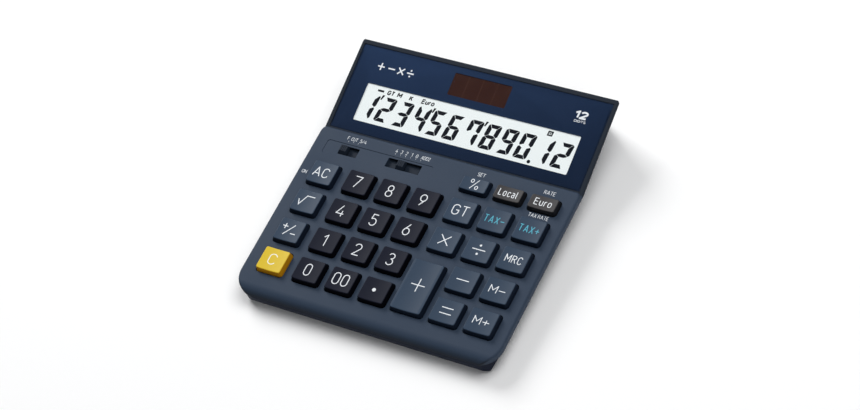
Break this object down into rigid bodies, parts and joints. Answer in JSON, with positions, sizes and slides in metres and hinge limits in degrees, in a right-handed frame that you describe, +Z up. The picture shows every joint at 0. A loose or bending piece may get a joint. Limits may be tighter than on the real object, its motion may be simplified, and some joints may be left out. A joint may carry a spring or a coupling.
{
  "type": "desk calculator",
  "caption": "Solar-and-battery desk calculator: sloping key deck with press keys and slide switches, and a raised, tilted liquid-crystal display.",
  "frame": {"origin": "on the table under the middle of the case", "axes": "+X to the user's right, +Y to the back where the display is, +Z up"},
  "size_m": [0.151, 0.159, 0.0285],
  "materials": {
    "case_grey": "fine matt texture, blue-grey",
    "case_grey_lower": "matt texture, dark navy",
    "window_clear": "clear, polished",
    "panel_navy": "printed navy, satin",
    "lcd_glass": "polished glass",
    "reflector_film": "pale reflective film",
    "holder_plastic": "moulded natural white",
    "flex_film": "amber film",
    "solar_glass": "dark brown, polished",
    "lead_metal": "tinned",
    "board_green": "solder resist",
    "keypad_rubber": "moulded silicone",
    "chip_resin": "cured resin",
    "component_ceramic": "ceramic bodies",
    "screw_steel": "plated",
    "battery_steel": "polished can",
    "contact_brass": "sprung strip",
    "foot_rubber": "moulded",
    "label_film": "silver film",
    "knob_dark": "fine matt",
    "key_near_black": "satin",
    "key_blue_grey": "satin",
    "key_brown_grey": "satin",
    "key_yellow": "satin"
  },
  "bodies": {
    "case": {"upper_housing": "case_grey", "lower_housing": "case_grey_lower", "display_window": "window_clear", "display_mask": "panel_navy", "lcd_cell": "lcd_glass", "lcd_reflector": "reflector_film", "display_holder": "holder_plastic", "display_flex": "flex_film", "solar_cell": "solar_glass", "solar_leads": "lead_metal", "main_board": "board_green", "keypad_sheet": "keypad_rubber", "chip_cover": "chip_resin", "board_components": "component_ceramic", "board_screws": "screw_steel", "housing_screws": "screw_steel", "battery": "battery_steel", "battery_contact_plus": "contact_brass", "battery_contact_minus": "contact_brass", "battery_cover": "case_grey_lower", "battery_cover_screw": "screw_steel", "rubber_feet": "foot_rubber", "base_label": "label_film"},
    "key_ac": {"key_ac": "key_blue_grey"},
    "key_root": {"key_root": "key_blue_grey"},
    "key_sign": {"key_sign": "key_blue_grey"},
    "key_c": {"key_c": "key_yellow"},
    "key_7": {"key_7": "key_near_black"},
    "key_8": {"key_8": "key_near_black"},
    "key_9": {"key_9": "key_near_black"},
    "key_4": {"key_4": "key_near_black"},
    "key_5": {"key_5": "key_near_black"},
    "key_6": {"key_6": "key_near_black"},
    "key_1": {"key_1": "key_near_black"},
    "key_2": {"key_2": "key_near_black"},
    "key_3": {"key_3": "key_near_black"},
    "key_0": {"key_0": "key_near_black"},
    "key_00": {"key_00": "key_near_black"},
    "key_point": {"key_point": "key_near_black"},
    "key_percent": {"key_percent": "key_blue_grey"},
    "key_local": {"key_local": "key_brown_grey"},
    "key_euro": {"key_euro": "key_brown_grey"},
    "key_gt": {"key_gt": "key_blue_grey"},
    "key_tax_minus": {"key_tax_minus": "key_blue_grey"},
    "key_tax_plus": {"key_tax_plus": "key_blue_grey"},
    "key_times": {"key_times": "key_blue_grey"},
    "key_divide": {"key_divide": "key_blue_grey"},
    "key_mrc": {"key_mrc": "key_blue_grey"},
    "key_minus": {"key_minus": "key_blue_grey"},
    "key_m_minus": {"key_m_minus": "key_blue_grey"},
    "key_equals": {"key_equals": "key_blue_grey"},
    "key_m_plus": {"key_m_plus": "key_blue_grey"},
    "key_plus": {"key_plus": "key_blue_grey"},
    "rounding_knob": {"rounding_switch_knob": "knob_dark", "rounding_switch_wiper": "contact_brass"},
    "decimal_knob": {"decimal_switch_knob": "knob_dark", "decimal_switch_wiper": "contact_brass"}
  },
  "joints": [
    {"name": "key_ac_press", "type": "slide", "parent": "case", "child": "key_ac", "axis": [0, 0.0523, -0.9986], "range_m": [0, 0.0015], "stiffness_N_per_m": 400, "springref_m": -0.0005, "deforming": ["keypad_sheet"]},
    {"name": "key_root_press", "type": "slide", "parent": "case", "child": "key_root", "axis": [0, 0.0523, -0.9986], "range_m": [0, 0.0015], "stiffness_N_per_m": 400, "springref_m": -0.0005, "deforming": ["keypad_sheet"]},
    {"name": "key_sign_press", "type": "slide", "parent": "case", "child": "key_sign", "axis": [0, 0.0523, -0.9986], "range_m": [0, 0.0015], "stiffness_N_per_m": 400, "springref_m": -0.0005, "deforming": ["keypad_sheet"]},
    {"name": "key_c_press", "type": "slide", "parent": "case", "child": "key_c", "axis": [0, 0.0523, -0.9986], "range_m": [0, 0.0015], "stiffness_N_per_m": 400, "springref_m": -0.0005, "deforming": ["keypad_sheet"]},
    {"name": "key_7_press", "type": "slide", "parent": "case", "child": "key_7", "axis": [0, 0.0523, -0.9986], "range_m": [0, 0.0015], "stiffness_N_per_m": 400, "springref_m": -0.0005, "deforming": ["keypad_sheet"]},
    {"name": "key_8_press", "type": "slide", "parent": "case", "child": "key_8", "axis": [0, 0.0523, -0.9986], "range_m": [0, 0.0015], "stiffness_N_per_m": 400, "springref_m": -0.0005, "deforming": ["keypad_sheet"]},
    {"name": "key_9_press", "type": "slide", "parent": "case", "child": "key_9", "axis": [0, 0.0523, -0.9986], "range_m": [0, 0.0015], "stiffness_N_per_m": 400, "springref_m": -0.0005, "deforming": ["keypad_sheet"]},
    {"name": "key_4_press", "type": "slide", "parent": "case", "child": "key_4", "axis": [0, 0.0523, -0.9986], "range_m": [0, 0.0015], "stiffness_N_per_m": 400, "springref_m": -0.0005, "deforming": ["keypad_sheet"]},
    {"name": "key_5_press", "type": "slide", "parent": "case", "child": "key_5", "axis": [0, 0.0523, -0.9986], "range_m": [0, 0.0015], "stiffness_N_per_m": 400, "springref_m": -0.0005, "deforming": ["keypad_sheet"]},
    {"name": "key_6_press", "type": "slide", "parent": "case", "child": "key_6", "axis": [0, 0.0523, -0.9986], "range_m": [0, 0.0015], "stiffness_N_per_m": 400, "springref_m": -0.0005, "deforming": ["keypad_sheet"]},
    {"name": "key_1_press", "type": "slide", "parent": "case", "child": "key_1", "axis": [0, 0.0523, -0.9986], "range_m": [0, 0.0015], "stiffness_N_per_m": 400, "springref_m": -0.0005, "deforming": ["keypad_sheet"]},
    {"name": "key_2_press", "type": "slide", "parent": "case", "child": "key_2", "axis": [0, 0.0523, -0.9986], "range_m": [0, 0.0015], "stiffness_N_per_m": 400, "springref_m": -0.0005, "deforming": ["keypad_sheet"]},
    {"name": "key_3_press", "type": "slide", "parent": "case", "child": "key_3", "axis": [0, 0.0523, -0.9986], "range_m": [0, 0.0015], "stiffness_N_per_m": 400, "springref_m": -0.0005, "deforming": ["keypad_sheet"]},
    {"name": "key_0_press", "type": "slide", "parent": "case", "child": "key_0", "axis": [0, 0.0523, -0.9986], "range_m": [0, 0.0015], "stiffness_N_per_m": 400, "springref_m": -0.0005, "deforming": ["keypad_sheet"]},
    {"name": "key_00_press", "type": "slide", "parent": "case", "child": "key_00", "axis": [0, 0.0523, -0.9986], "range_m": [0, 0.0015], "stiffness_N_per_m": 400, "springref_m": -0.0005, "deforming": ["keypad_sheet"]},
    {"name": "key_point_press", "type": "slide", "parent": "case", "child": "key_point", "axis": [0, 0.0523, -0.9986], "range_m": [0, 0.0015], "stiffness_N_per_m": 400, "springref_m": -0.0005, "deforming": ["keypad_sheet"]},
    {"name": "key_percent_press", "type": "slide", "parent": "case", "child": "key_percent", "axis": [0, 0.0523, -0.9986], "range_m": [0, 0.0015], "stiffness_N_per_m": 400, "springref_m": -0.0005, "deforming": ["keypad_sheet"]},
    {"name": "key_local_press", "type": "slide", "parent": "case", "child": "key_local", "axis": [0, 0.0523, -0.9986], "range_m": [0, 0.0015], "stiffness_N_per_m": 400, "springref_m": -0.0005, "deforming": ["keypad_sheet"]},
    {"name": "key_euro_press", "type": "slide", "parent": "case", "child": "key_euro", "axis": [0, 0.0523, -0.9986], "range_m": [0, 0.0015], "stiffness_N_per_m": 400, "springref_m": -0.0005, "deforming": ["keypad_sheet"]},
    {"name": "key_gt_press", "type": "slide", "parent": "case", "child": "key_gt", "axis": [0, 0.0523, -0.9986], "range_m": [0, 0.0015], "stiffness_N_per_m": 400, "springref_m": -0.0005, "deforming": ["keypad_sheet"]},
    {"name": "key_tax_minus_press", "type": "slide", "parent": "case", "child": "key_tax_minus", "axis": [0, 0.0523, -0.9986], "range_m": [0, 0.0015], "stiffness_N_per_m": 400, "springref_m": -0.0005, "deforming": ["keypad_sheet"]},
    {"name": "key_tax_plus_press", "type": "slide", "parent": "case", "child": "key_tax_plus", "axis": [0, 0.0523, -0.9986], "range_m": [0, 0.0015], "stiffness_N_per_m": 400, "springref_m": -0.0005, "deforming": ["keypad_sheet"]},
    {"name": "key_times_press", "type": "slide", "parent": "case", "child": "key_times", "axis": [0, 0.0523, -0.9986], "range_m": [0, 0.0015], "stiffness_N_per_m": 400, "springref_m": -0.0005, "deforming": ["keypad_sheet"]},
    {"name": "key_divide_press", "type": "slide", "parent": "case", "child": "key_divide", "axis": [0, 0.0523, -0.9986], "range_m": [0, 0.0015], "stiffness_N_per_m": 400, "springref_m": -0.0005, "deforming": ["keypad_sheet"]},
    {"name": "key_mrc_press", "type": "slide", "parent": "case", "child": "key_mrc", "axis": [0, 0.0523, -0.9986], "range_m": [0, 0.0015], "stiffness_N_per_m": 400, "springref_m": -0.0005, "deforming": ["keypad_sheet"]},
    {"name": "key_minus_press", "type": "slide", "parent": "case", "child": "key_minus", "axis": [0, 0.0523, -0.9986], "range_m": [0, 0.0015], "stiffness_N_per_m": 400, "springref_m": -0.0005, "deforming": ["keypad_sheet"]},
    {"name": "key_m_minus_press", "type": "slide", "parent": "case", "child": "key_m_minus", "axis": [0, 0.0523, -0.9986], "range_m": [0, 0.0015], "stiffness_N_per_m": 400, "springref_m": -0.0005, "deforming": ["keypad_sheet"]},
    {"name": "key_equals_press", "type": "slide", "parent": "case", "child": "key_equals", "axis": [0, 0.0523, -0.9986], "range_m": [0, 0.0015], "stiffness_N_per_m": 400, "springref_m": -0.0005, "deforming": ["keypad_sheet"]},
    {"name": "key_m_plus_press", "type": "slide", "parent": "case", "child": "key_m_plus", "axis": [0, 0.0523, -0.9986], "range_m": [0, 0.0015], "stiffness_N_per_m": 400, "springref_m": -0.0005, "deforming": ["keypad_sheet"]},
    {"name": "key_plus_press", "type": "slide", "parent": "case", "child": "key_plus", "axis": [0, 0.0523, -0.9986], "range_m": [0, 0.0015], "stiffness_N_per_m": 400, "springref_m": -0.0005, "deforming": ["keypad_sheet"]},
    {"name": "rounding_slide", "type": "slide", "parent": "case", "child": "rounding_knob", "axis": [1, 0, 0], "range_m": [0, 0.0058]},
    {"name": "decimal_slide", "type": "slide", "parent": "case", "child": "decimal_knob", "axis": [1, 0, 0], "range_m": [-0.0058, 0.0087]}
  ]
}
